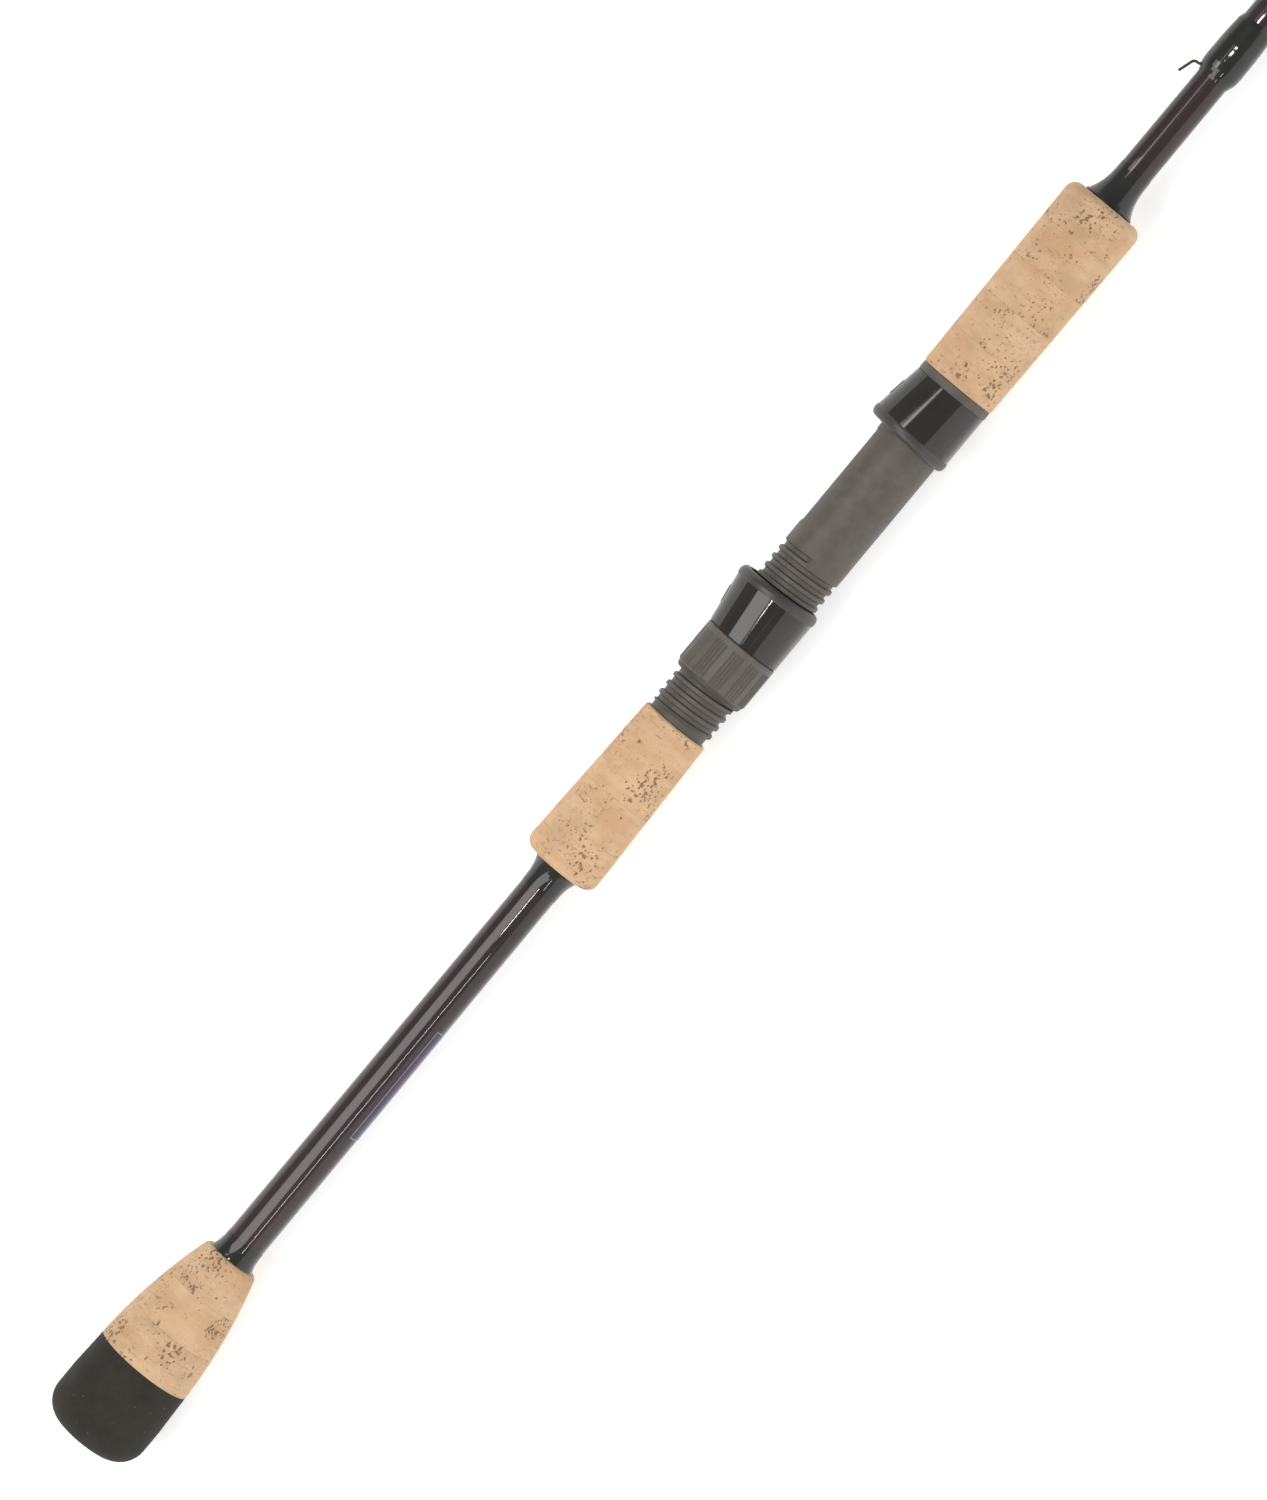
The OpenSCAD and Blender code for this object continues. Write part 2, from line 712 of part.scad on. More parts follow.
module guide_legs(index) {
    at = guide_at(index);
    gap = foot_gap(index);
    if (index <= double_foot_guides) {
        leg(index, 0, at - gap, 0);
        leg(index, 58, at + gap, 0.25);
        leg(index, -58, at + gap, -0.25);
    } else {
        leg(index, 48, at + gap, 0.25);
        leg(index, -48, at + gap, -0.25);
    }
}

module guide_feet(index) {
    at = guide_at(index);
    near = foot_start(index);
    thick = foot_thick(index);
    foot(at + near, at + near + foot_len(index), thick, 0.2, foot_w(index));
    if (index <= double_foot_guides)
        foot(at - near, at - near - foot_len(index), thick, 0.2, foot_w(index));
}

module guide_frame(index) {
    at = guide_at(index);
    reach = foot_gap(index) + foot_len(index);
    color(frame_colour) placed() difference() {
        union() {
            translate([at, ring_y(index), 0]) ring_rim(ring_r(index));
            guide_legs(index);
            guide_feet(index);
        }
        blank_solid(at - reach, at + reach);
        translate([at, ring_y(index), 0])
            rod(-ring_width / 2 - 0.5, ring_width / 2 + 0.5, ring_r(index), ring_r(index));
    }
}

module guide_ring(index) {
    placed() translate([guide_at(index), ring_y(index), 0]) ceramic(ring_r(index));
}

// Thread wrap over one foot, ending in thin varnish
module foot_wrap(from, to, thick) {
    side = from < to ? 1 : -1;
    cover = [
        [from, 0.15], [from + side * 0.5, thick + wrap_cover * 0.6],
        [from + side * 1.4, thick + wrap_cover], [to - side * 3, 0.25 + wrap_cover],
        [to - side * 0.8, 0.15 + wrap_cover * 0.4], [to, skin]
    ];
    sleeve(side > 0 ? cover : [for (i = [len(cover) - 1:-1:0]) cover[i]]);
}

// The wrap or wraps over a guide's feet, from just past the legs to beyond the feet's ends
module guide_wrap(index) {
    at = guide_at(index);
    near = foot_gap(index) + leg_r(index) + 0.8;
    far = foot_start(index) + foot_len(index) + 2.7;
    color(wrap_colour) placed() difference() {
        union() {
            foot_wrap(at + near, at + far, foot_thick(index));
            if (index <= double_foot_guides)
                foot_wrap(at - near, at - far, foot_thick(index));
        }
        guide_feet(index);
    }
}

// ---- Tip-top ----

tip_y = tip_tube_r + tip_ring_d / 2 + 0.6;
tip_tube_end = tip_ring_at - 1.4;
tip_tube_at = tip_tube_end - tip_tube_len;

module tip_frame() {
    grip_r = tip_ring_d / 2 + band_wall / 2;
    color(frame_colour) placed() difference() {
        union() {
            rod(tip_tube_at, tip_tube_end, tip_tube_r, tip_tube_r);
            translate([tip_ring_at, tip_y, 0]) ring_rim(tip_ring_d / 2);
            for (side = [-1, 1]) {
                bar([tip_ring_at, tip_y - grip_r * cos(75), side * grip_r * sin(75)],
                    [tip_tube_end - 4.5, 0.9, side * 0.7], 0.45, 0.5);
                bar([tip_ring_at, tip_y - grip_r * cos(25), side * grip_r * sin(25)],
                    [tip_tube_end - 1.2, 0.5, side * 0.5], 0.5, 0.55);
            }
        }
        blank_solid(tip_tube_at - 1, blank_end);
        translate([tip_ring_at, tip_y, 0])
            rod(-ring_width / 2 - 0.5, ring_width / 2 + 0.5, tip_ring_d / 2, tip_ring_d / 2);
    }
}

module tip_ring() {
    placed() translate([tip_ring_at, tip_y, 0]) ceramic(tip_ring_d / 2);
}

module tip_wrap() {
    wrap_len = 7;
    lap = 0.6;
    color(wrap_colour) placed()
        sleeve([
            [tip_tube_at - wrap_len, skin], [tip_tube_at - wrap_len + 1, 0.3],
            [tip_tube_at - lap, 0.45], [tip_tube_at, 0.3]
        ]);
}

blank();
butt_cap();
butt_cork(1);  // butt_cork_1
butt_cork(2);  // butt_cork_2
butt_cork(3);  // butt_cork_3
butt_trim_wrap();
rear_trim_wrap();
rear_cork(1);  // rear_cork_1
rear_cork(2);  // rear_cork_2
rear_cork(3);  // rear_cork_3
rear_cork(4);  // rear_cork_4
seat_body();
seat_thread();
seat_arbor(seat_at + 12);  // seat_arbor_rear
seat_arbor(seat_at + seat_len / 2);  // seat_arbor_middle
seat_arbor(fore_grip_at - 12);  // seat_arbor_front
fixed_hood_shell();
fixed_hood_liner();
front_collar();
sliding_hood_shell();
sliding_hood_liner();
locking_nut();
nut_thread();
fore_cork(1);  // fore_cork_1
fore_cork(2);  // fore_cork_2
fore_cork(3);  // fore_cork_3
fore_cork(4);  // fore_cork_4
fore_cork(5);  // fore_cork_5
winding_check();
front_trim_wrap();
hook_keeper();
keeper_wrap();
label_coat();
guide_frame(1);  // guide_1_frame
guide_ring(1);  // guide_1_ring
guide_wrap(1);  // guide_1_wraps
guide_frame(2);  // guide_2_frame
guide_ring(2);  // guide_2_ring
guide_wrap(2);  // guide_2_wraps
guide_frame(3);  // guide_3_frame
guide_ring(3);  // guide_3_ring
guide_wrap(3);  // guide_3_wraps
guide_frame(4);  // guide_4_frame
guide_ring(4);  // guide_4_ring
guide_wrap(4);  // guide_4_wrap
guide_frame(5);  // guide_5_frame
guide_ring(5);  // guide_5_ring
guide_wrap(5);  // guide_5_wrap
guide_frame(6);  // guide_6_frame
guide_ring(6);  // guide_6_ring
guide_wrap(6);  // guide_6_wrap
guide_frame(7);  // guide_7_frame
guide_ring(7);  // guide_7_ring
guide_wrap(7);  // guide_7_wrap
tip_frame();
tip_ring();
tip_wrap();
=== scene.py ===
"""A one-piece spinning rod with a split cork grip: finishes, small pieces, light and camera.

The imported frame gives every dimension. Lengths are in metres, +X runs from the butt to the tip,
+Y points to the side that carries the reel and the guides, and the rod lies on its side.
"""

import logging
import math
from collections.abc import Callable
from dataclasses import dataclass
from enum import Enum

import bpy
from mathutils import Matrix, Vector


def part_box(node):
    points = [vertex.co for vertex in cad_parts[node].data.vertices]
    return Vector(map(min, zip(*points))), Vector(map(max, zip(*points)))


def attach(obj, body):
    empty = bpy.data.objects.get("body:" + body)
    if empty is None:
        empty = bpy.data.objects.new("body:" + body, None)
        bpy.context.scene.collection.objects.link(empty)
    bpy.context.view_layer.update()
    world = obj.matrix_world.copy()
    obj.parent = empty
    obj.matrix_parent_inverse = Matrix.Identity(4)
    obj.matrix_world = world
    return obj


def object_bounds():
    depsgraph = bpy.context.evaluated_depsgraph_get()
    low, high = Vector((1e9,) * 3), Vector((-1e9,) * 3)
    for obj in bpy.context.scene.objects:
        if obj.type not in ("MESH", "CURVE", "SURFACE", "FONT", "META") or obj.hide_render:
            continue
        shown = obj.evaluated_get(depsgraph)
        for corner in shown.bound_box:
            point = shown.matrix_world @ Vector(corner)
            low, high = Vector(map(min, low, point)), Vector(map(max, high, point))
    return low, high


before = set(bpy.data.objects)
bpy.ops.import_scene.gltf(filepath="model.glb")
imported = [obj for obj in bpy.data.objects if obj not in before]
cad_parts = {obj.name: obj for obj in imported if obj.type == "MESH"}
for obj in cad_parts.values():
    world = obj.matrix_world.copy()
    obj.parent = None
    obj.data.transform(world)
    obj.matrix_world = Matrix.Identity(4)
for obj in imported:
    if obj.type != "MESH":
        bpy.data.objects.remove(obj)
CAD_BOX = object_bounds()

LOG = logging.getLogger("spinning_rod")
MM = 0.001
# Blender's wave texture turns through this many radians for each unit of its scale
WAVE_RADIANS = 20
Triple = tuple[float, float, float]
Colour = Triple
Test = Callable[[Vector], bool]


class Body(Enum):
    """The three bodies that move against one another."""

    ROD = "rod"
    SLIDING_HOOD = "sliding_hood"
    LOCKING_NUT = "locking_nut"


def linear(red: int, green: int, blue: int) -> Colour:
    """Turns a screen colour into the linear one that shaders use.

    Args:
        red: Red from 0 to 255.
        green: Green from 0 to 255.
        blue: Blue from 0 to 255.

    Returns:
        The linear colour, each part from 0 to 1.
    """
    return tuple(
        c / 12.92 if c <= 0.04045 else ((c + 0.055) / 1.055) ** 2.4
        for c in (red / 255, green / 255, blue / 255)
    )


def axis_height() -> float:
    """Returns the Y coordinate of the rod's axis, the middle of the foregrip's first ring."""
    low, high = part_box("fore_cork_1")
    return (low.y + high.y) / 2


AXIS_Y = axis_height()


# ---- Node sheets -----------------------------------------------------------------------------


class NodeSheet:
    """One material's node tree, with short methods that add nodes and join them."""

    def __init__(self, name: str) -> None:
        """Starts an empty material.

        Args:
            name: The material's name.
        """
        self.material = bpy.data.materials.new(name)
        self.material.use_nodes = True
        self.tree = self.material.node_tree
        self.shader = self.tree.nodes["Principled BSDF"]
        coordinates = self.tree.nodes.new("ShaderNodeTexCoord")
        self.place = coordinates.outputs["Object"]

    def add(self, kind: str, values: dict | None = None, **settings: object) -> bpy.types.Node:
        """Adds a node.

        Args:
            kind: The node's type, without the ShaderNode prefix.
            values: Input name or number to a value, or to an output socket that feeds it.
            settings: Properties of the node itself.

        Returns:
            The new node.
        """
        node = self.tree.nodes.new("ShaderNode" + kind)
        for name, value in settings.items():
            setattr(node, name, value)
        for name, value in (values or {}).items():
            self.feed(node.inputs[name], value)
        return node

    def feed(self, socket: bpy.types.NodeSocket, value: object) -> None:
        """Joins or sets one input.

        Args:
            socket: The input to fill.
            value: An output socket, a number, a colour or a vector.
        """
        if isinstance(value, bpy.types.NodeSocket):
            self.tree.links.new(value, socket)
        elif socket.type == "RGBA" and len(value) == 3:
            socket.default_value = (*value, 1.0)
        else:
            socket.default_value = value

    def placed(self, scale: Triple, offset: Triple = (0, 0, 0)) -> bpy.types.NodeSocket:
        """Returns the piece's coordinates, stretched and moved.

        Args:
            scale: Pattern cells for each metre, along X, Y and Z.
            offset: Where the pattern starts.
        """
        node = self.add("Mapping", {"Vector": self.place, "Scale": scale, "Location": offset})
        return node.outputs["Vector"]

    def noise(self, vector: bpy.types.NodeSocket, detail: float = 2.0,
              rough: float = 0.5) -> bpy.types.NodeSocket:
        """Returns smooth noise from about 0.3 to 0.7 at a scale of one cell a unit.

        Args:
            vector: Stretched coordinates.
            detail: Number of finer layers.
            rough: Strength of the finer layers.
        """
        values = {"Vector": vector, "Scale": 1.0, "Detail": detail, "Roughness": rough}
        return self.add("TexNoise", values).outputs["Fac"]

    def cells(self, vector: bpy.types.NodeSocket, randomness: float = 1.0) -> bpy.types.NodeSocket:
        """Returns the distance to the nearest of scattered points.

        Args:
            vector: Stretched coordinates.
            randomness: 0 for a grid, 1 for a scatter.
        """
        values = {"Vector": vector, "Scale": 1.0, "Randomness": randomness}
        return self.add("TexVoronoi", values, feature="F1").outputs["Distance"]

    def span(self, value: bpy.types.NodeSocket, low: float, high: float,
             to_low: float = 0.0, to_high: float = 1.0) -> bpy.types.NodeSocket:
        """Maps a span of a value onto another, held at its ends.

        Args:
            value: The value to map.
            low: Start of the span.
            high: End of the span.
            to_low: Result at the start.
            to_high: Result at the end.

        Returns:
            The mapped value.
        """
        values = {"Value": value, "From Min": low, "From Max": high, "To Min": to_low, "To Max": to_high}
        return self.add("MapRange", values, clamp=True).outputs["Result"]

    def sum(self, kind: str, a: object, b: object) -> bpy.types.NodeSocket:
        """Returns the result of one arithmetic step.

        Args:
            kind: The step, such as ADD, MULTIPLY, MAXIMUM or SUBTRACT.
            a: First value.
            b: Second value.
        """
        return self.add("Math", {0: a, 1: b}, operation=kind).outputs["Value"]

    def mix(self, share: object, a: object, b: object) -> bpy.types.NodeSocket:
        """Returns colour a turning into colour b.

        Args:
            share: 0 for a, 1 for b.
            a: First colour.
            b: Second colour.
        """
        node = self.add("Mix", data_type="RGBA")
        self.feed(node.inputs[0], share)
        self.feed(node.inputs[6], a)
        self.feed(node.inputs[7], b)
        return node.outputs[2]

    def bump(self, height: bpy.types.NodeSocket, depth: float,
             strength: float = 1.0) -> bpy.types.NodeSocket:
        """Returns a normal raised by a height pattern.

        Args:
            height: The pattern, from 0 to 1.
            depth: Height of a full step, in metres.
            strength: Share of the bump that shows.
        """
        values = {"Height": height, "Distance": depth, "Strength": strength}
        return self.add("Bump", values).outputs["Normal"]

    def radius(self) -> bpy.types.NodeSocket:
        """Returns the distance of each point from the rod's axis."""
        parts = self.add("SeparateXYZ", {"Vector": self.place})
        rise = self.sum("SUBTRACT", parts.outputs["Y"], AXIS_Y)
        square = self.sum("ADD", self.sum("MULTIPLY", rise, rise),
                          self.sum("MULTIPLY", parts.outputs["Z"], parts.outputs["Z"]))
        return self.sum("SQRT", square, 0.0)

    def along(self) -> bpy.types.NodeSocket:
        """Returns each point's X coordinate."""
        return self.add("SeparateXYZ", {"Vector": self.place}).outputs["X"]

    def dress(self, values: dict[str, object]) -> bpy.types.Material:
        """Fills the shader's inputs.

        Args:
            values: Input names, and their values or sockets.

        Returns:
            The finished material.
        """
        for name, value in values.items():
            self.feed(self.shader.inputs[name], value)
        return self.material


# ---- Finishes --------------------------------------------------------------------------------


@dataclass(frozen=True)
class CorkFinish:
    """Sanded cork ring: growth lines around the ring, pits in clusters and a glue line at each end."""

    name: str
    seed: float
    tone: float
    start: float
    end: float
    pale: Colour = linear(214, 181, 145)
    warm: Colour = linear(199, 160, 122)
    patch: Colour = linear(176, 150, 116)
    pit: Colour = linear(112, 84, 58)
    glue: Colour = linear(140, 104, 70)
    glue_width: float = 0.14 * MM
    glue_share: float = 0.3
    pit_share: float = 0.78
    pit_depth: float = 0.22 * MM

    def material(self) -> bpy.types.Material:
        """Builds the ring's material."""
        sheet = NodeSheet(self.name)
        offset = (self.seed * 3.7, self.seed * 1.9, self.seed * 2.3)
        wander = sheet.noise(sheet.placed((900, 900, 900), offset), detail=2.0)
        cloud = sheet.noise(sheet.placed((150, 60, 60), offset), detail=4.0, rough=0.6)
        colour = sheet.mix(sheet.span(cloud, 0.36, 0.64), self.warm, self.pale)
        stale = sheet.noise(sheet.placed((130, 120, 120), (self.seed, 5.1, 9.4)), detail=3.0)
        colour = sheet.mix(sheet.span(stale, 0.52, 0.70, 0.0, 0.42), colour, self.patch)
        lines = sheet.noise(sheet.placed((2100, 70, 70), offset), detail=3.0, rough=0.7)
        colour = sheet.mix(sheet.span(lines, 0.48, 0.70, 0.0, 0.42), colour, self.warm)
        dash_place = sheet.placed((2300, 240, 240), (7.7, self.seed, 1.3))
        dashes = sheet.noise(dash_place, detail=2.0, rough=0.6)
        dash = sheet.span(dashes, 0.66, 0.76, 0.0, 0.7)
        grain = sheet.noise(sheet.placed((2600, 3400, 3400), offset), detail=2.0)
        colour = sheet.mix(sheet.span(grain, 0.52, 0.72, 0.0, 0.30), colour, self.patch)
        fleck_place = sheet.placed((1150, 900, 900), (3.1, offset[0], self.seed))
        flecks = sheet.noise(fleck_place, detail=3.0, rough=0.6)
        crowd = sheet.noise(sheet.placed((90, 110, 110), (self.seed, 3.3, 8.1)), detail=2.0)
        fleck = sheet.sum("MULTIPLY", sheet.span(flecks, 0.60, 0.68), sheet.span(crowd, 0.46, 0.62))
        small = self.pits(sheet, (900, 960, 960), offset, 0.44, wander)
        large = self.pits(sheet, (310, 380, 380), (self.seed, 2.0, 4.0), 0.25, wander)
        hole = sheet.sum("MAXIMUM",
                         sheet.sum("MAXIMUM", small, large), sheet.sum("MAXIMUM", dash, fleck))
        colour = sheet.mix(sheet.sum("MULTIPLY", hole, self.pit_share), colour, self.pit)
        x = sheet.along()
        seam = sheet.sum("MAXIMUM",
                         sheet.span(x, self.start, self.start + self.glue_width, self.glue_share, 0.0),
                         sheet.span(x, self.end - self.glue_width, self.end, 0.0, self.glue_share))
        colour = sheet.mix(seam, colour, self.glue)
        shade = sheet.add("HueSaturation", {"Color": colour, "Value": self.tone}).outputs["Color"]
        height = sheet.sum("SUBTRACT", sheet.sum("MULTIPLY", grain, 0.35), hole)
        normal = sheet.bump(height, self.pit_depth, 0.75)
        return sheet.dress({
            "Base Color": shade,
            "Roughness": sheet.span(cloud, 0.3, 0.7, 0.66, 0.82),
            "Specular IOR Level": 0.28,
            "Normal": normal,
        })

    def pits(self, sheet: NodeSheet, scale: Triple, offset: Triple, size: float,
             wander: bpy.types.NodeSocket) -> bpy.types.NodeSocket:
        """Returns scattered pits that gather in clusters.

        Args:
            sheet: The node sheet.
            scale: Pits for each metre, along X, Y and Z.
            offset: Where the pattern starts.
            size: Radius of the largest pit, as a share of the spacing.
            wander: Noise that makes the outlines uneven.
        """
        spot = sheet.cells(sheet.placed(scale, offset))
        uneven = sheet.sum("ADD", spot, sheet.span(wander, 0.3, 0.7, -0.24, 0.24))
        crowd = sheet.noise(sheet.placed((75, 85, 85), (offset[1], offset[2], offset[0] + 6)), detail=2.0)
        reach = sheet.span(crowd, 0.50, 0.66, 0.0, size)
        return sheet.span(sheet.sum("SUBTRACT", reach, uneven), 0.0, 0.10)


@dataclass(frozen=True)
class FoamFinish:
    """Closed-cell foam: matte charcoal, cloudy, with a few pale specks."""

    name: str = "charcoal_foam"
    dark: Colour = linear(44, 41, 37)
    light: Colour = linear(53, 50, 45)
    speck: Colour = linear(104, 97, 88)

    def material(self) -> bpy.types.Material:
        """Builds the foam's material."""
        sheet = NodeSheet(self.name)
        cloud = sheet.noise(sheet.placed((120, 120, 120)), detail=5.0, rough=0.7)
        colour = sheet.mix(sheet.span(cloud, 0.35, 0.65), self.dark, self.light)
        dots = sheet.cells(sheet.placed((330, 330, 330)))
        dot = sheet.span(dots, 0.10, 0.05, 0.0, 0.6)
        colour = sheet.mix(dot, colour, self.speck)
        pores = sheet.cells(sheet.placed((2400, 2400, 2400)))
        normal = sheet.bump(sheet.span(pores, 0.1, 0.8), 0.06 * MM, 0.6)
        return sheet.dress({
            "Base Color": colour,
            "Roughness": sheet.span(cloud, 0.3, 0.7, 0.86, 0.96),
            "Specular IOR Level": 0.12,
            "Sheen Weight": 0.03,
            "Sheen Roughness": 0.6,
            "Normal": normal,
        })


@dataclass(frozen=True)
class SeatFinish:
    """Moulded nylon with a fine matte grain, rubbed paler on the crests, with painted shade that darkens
    the grooves.
    """

    name: str = "seat_nylon"
    base: Colour = linear(80, 74, 66)
    shade: Colour = linear(77, 71, 63)
    rub: Colour = linear(98, 92, 83)
    # colour of the painted shade in the thread grooves
    painted_groove_shade: Colour = linear(50, 45, 40)
    crest: float = 9.64 * MM
    root: float = 8.85 * MM
    # strength of the painted shade at the groove roots
    groove_shade_share: float = 0.12

    def material(self) -> bpy.types.Material:
        """Builds the nylon's material."""
        sheet = NodeSheet(self.name)
        cloud = sheet.noise(sheet.placed((60, 90, 90)), detail=4.0, rough=0.6)
        colour = sheet.mix(sheet.span(cloud, 0.35, 0.65), self.shade, self.base)
        radius = sheet.radius()
        # painted shade: the colour turns darker towards the thread roots, by distance from the axis
        deep = sheet.span(radius, self.root + 0.05 * MM, self.crest - 0.2 * MM, self.groove_shade_share, 0.0)
        colour = sheet.mix(deep, colour, self.painted_groove_shade)
        touch = sheet.noise(sheet.placed((300, 300, 300)), detail=3.0)
        near_crest = sheet.span(radius, self.crest - 0.10 * MM, self.crest, 0.0, 0.35)
        rubbed = sheet.sum("MULTIPLY", near_crest, sheet.span(touch, 0.4, 0.65))
        colour = sheet.mix(rubbed, colour, self.rub)
        grain = sheet.noise(sheet.placed((5200, 5200, 5200)), detail=2.0)
        normal = sheet.bump(grain, 0.035 * MM, 0.5)
        return sheet.dress({
            "Base Color": colour,
            "Roughness": sheet.span(cloud, 0.3, 0.7, 0.46, 0.58),
            "Specular IOR Level": 0.42,
            "Normal": normal,
        })


@dataclass(frozen=True)
class GlossFinish:
    """Polished black lacquer, with faint rubbing marks in its gloss."""

    name: str = "hood_lacquer"
    base: Colour = linear(30, 26, 20)
    haze: Colour = linear(36, 31, 25)

    def material(self) -> bpy.types.Material:
        """Builds the lacquer's material."""
        sheet = NodeSheet(self.name)
        cloud = sheet.noise(sheet.placed((90, 90, 90)), detail=3.0)
        colour = sheet.mix(sheet.span(cloud, 0.35, 0.65), self.base, self.haze)
        rubs = sheet.noise(sheet.placed((3200, 260, 260)), detail=2.0)
        rough = sheet.span(sheet.sum("MULTIPLY", rubs, cloud), 0.15, 0.4, 0.045, 0.10)
        ripple = sheet.noise(sheet.placed((160, 160, 160)), detail=0.0)
        return sheet.dress({
            "Base Color": colour,
            "Roughness": rough,
            "Specular IOR Level": 0.5,
            "Normal": sheet.bump(ripple, 0.012 * MM, 0.35),
        })


@dataclass(frozen=True)
class SatinFinish:
    """Satin moulding or plating: one tone with fine grain and small changes of gloss."""

    name: str
    base: Colour
    rough: float
    metal: float = 0.0
    grain: float = 4200.0
    depth: float = 0.02 * MM

    def material(self) -> bpy.types.Material:
        """Builds the satin material."""
        sheet = NodeSheet(self.name)
        cloud = sheet.noise(sheet.placed((110, 110, 110)), detail=4.0)
        darker = tuple(c * 0.78 for c in self.base)
        colour = sheet.mix(sheet.span(cloud, 0.35, 0.65), darker, self.base)
        grain = sheet.noise(sheet.placed((self.grain,) * 3), detail=2.0)
        rough = sheet.span(cloud, 0.3, 0.7, self.rough * 0.85, self.rough * 1.15)
        return sheet.dress({
            "Base Color": colour,
            "Roughness": rough,
            "Metallic": self.metal,
            "Normal": sheet.bump(grain, self.depth, 0.4),
        })


@dataclass(frozen=True)
class BlankFinish:
    """Graphite tube under a deep clear coat: dark purple-brown with a faint pearl and tape marks."""

    name: str
    base: Colour
    glow: Colour
    pearl: float = 0.12
    flake_gain: float = 3.2

    def material(self) -> bpy.types.Material:
        """Builds the blank's material."""
        sheet = NodeSheet(self.name)
        cloud = sheet.noise(sheet.placed((18, 160, 160)), detail=4.0, rough=0.6)
        colour = sheet.mix(sheet.span(cloud, 0.35, 0.65), self.base, self.glow)
        flakes = sheet.cells(sheet.placed((5200, 5200, 5200)))
        bright = tuple(c * self.flake_gain for c in self.glow)
        colour = sheet.mix(sheet.span(flakes, 0.16, 0.04, 0.0, 0.30), colour, bright)
        tape = sheet.noise(sheet.placed((520, 30, 30)), detail=1.0)
        flow = sheet.noise(sheet.placed((42, 130, 130)), detail=1.0)
        under = sheet.bump(tape, 0.02 * MM, 0.35)
        over = sheet.bump(flow, 0.012 * MM, 0.25)
        return sheet.dress({
            "Base Color": colour,
            "Roughness": sheet.span(cloud, 0.3, 0.7, 0.30, 0.42),
            "Metallic": self.pearl,
            "Specular IOR Level": 0.1,
            "Normal": under,
            "Coat Weight": 0.78,
            "Coat Roughness": 0.025,
            "Coat IOR": 1.5,
            "Coat Normal": over,
        })


@dataclass(frozen=True)
class WrapFinish:
    """Black thread wound side by side under thick varnish, with painted shade in the gaps between the
    turns.
    """

    name: str = "thread_under_varnish"
    thread: Colour = linear(27, 27, 23)
    gap: Colour = linear(11, 11, 9)
    turns_per_metre: float = 4200.0

    def material(self) -> bpy.types.Material:
        """Builds the wrap's material."""
        sheet = NodeSheet(self.name)
        scale = self.turns_per_metre * math.tau / WAVE_RADIANS
        values = {"Vector": sheet.place, "Scale": scale, "Distortion": 0.0}
        turns = sheet.add("TexWave", values, wave_type="BANDS", bands_direction="X",
                          wave_profile="SIN").outputs["Fac"]
        cloud = sheet.noise(sheet.placed((220, 220, 220)), detail=3.0)
        # painted shade: the gap colour darkens the hollow between each pair of turns
        colour = sheet.mix(turns, self.gap, self.thread)
        colour = sheet.mix(sheet.span(cloud, 0.4, 0.7, 0.0, 0.4), colour, self.gap)
        flow = sheet.noise(sheet.placed((110, 90, 90)), detail=0.5)
        under = sheet.bump(turns, 0.05 * MM, 0.5)
        over = sheet.bump(flow, 0.12 * MM, 0.35)
        return sheet.dress({
            "Base Color": colour,
            "Roughness": sheet.span(cloud, 0.3, 0.7, 0.38, 0.5),
            "Specular IOR Level": 0.12,
            "Normal": under,
            "Coat Weight": 0.8,
            "Coat Roughness": 0.02,
            "Coat IOR": 1.5,
            "Coat Normal": over,
        })


@dataclass(frozen=True)
class CeramicFinish:
    """Polished dark ceramic with a faint cloudy tone."""

    name: str = "ring_ceramic"
    base: Colour = linear(52, 53, 58)
    light: Colour = linear(66, 68, 74)

    def material(self) -> bpy.types.Material:
        """Builds the ceramic's material."""
        sheet = NodeSheet(self.name)
        cloud = sheet.noise(sheet.placed((900, 900, 900)), detail=5.0)
        colour = sheet.mix(sheet.span(cloud, 0.35, 0.65), self.base, self.light)
        return sheet.dress({
            "Base Color": colour,
            "Roughness": sheet.span(cloud, 0.3, 0.7, 0.08, 0.14),
            "Specular IOR Level": 0.75,
            "Normal": sheet.bump(cloud, 0.004 * MM, 0.3),
        })


@dataclass(frozen=True)
class PrintFinish:
    """A printed decal under varnish: one tone with a slight mottle."""

    name: str
    ink: Colour
    metal: float
    rough: float

    def material(self) -> bpy.types.Material:
        """Builds the decal's material."""
        sheet = NodeSheet(self.name)
        mottle = sheet.noise(sheet.placed((700, 700, 700)), detail=3.0)
        darker = tuple(c * 0.75 for c in self.ink)
        colour = sheet.mix(sheet.span(mottle, 0.4, 0.6), darker, self.ink)
        flow = sheet.noise(sheet.placed((42, 130, 130)), detail=1.0)
        return sheet.dress({
            "Base Color": colour,
            "Metallic": self.metal,
            "Roughness": sheet.span(mottle, 0.3, 0.7, self.rough * 0.9, self.rough * 1.1),
            "Specular IOR Level": 0.15,
            "Coat Weight": 0.78,
            "Coat Roughness": 0.03,
            "Coat Normal": sheet.bump(flow, 0.03 * MM, 0.25),
        })


# ---- Mesh work -------------------------------------------------------------------------------


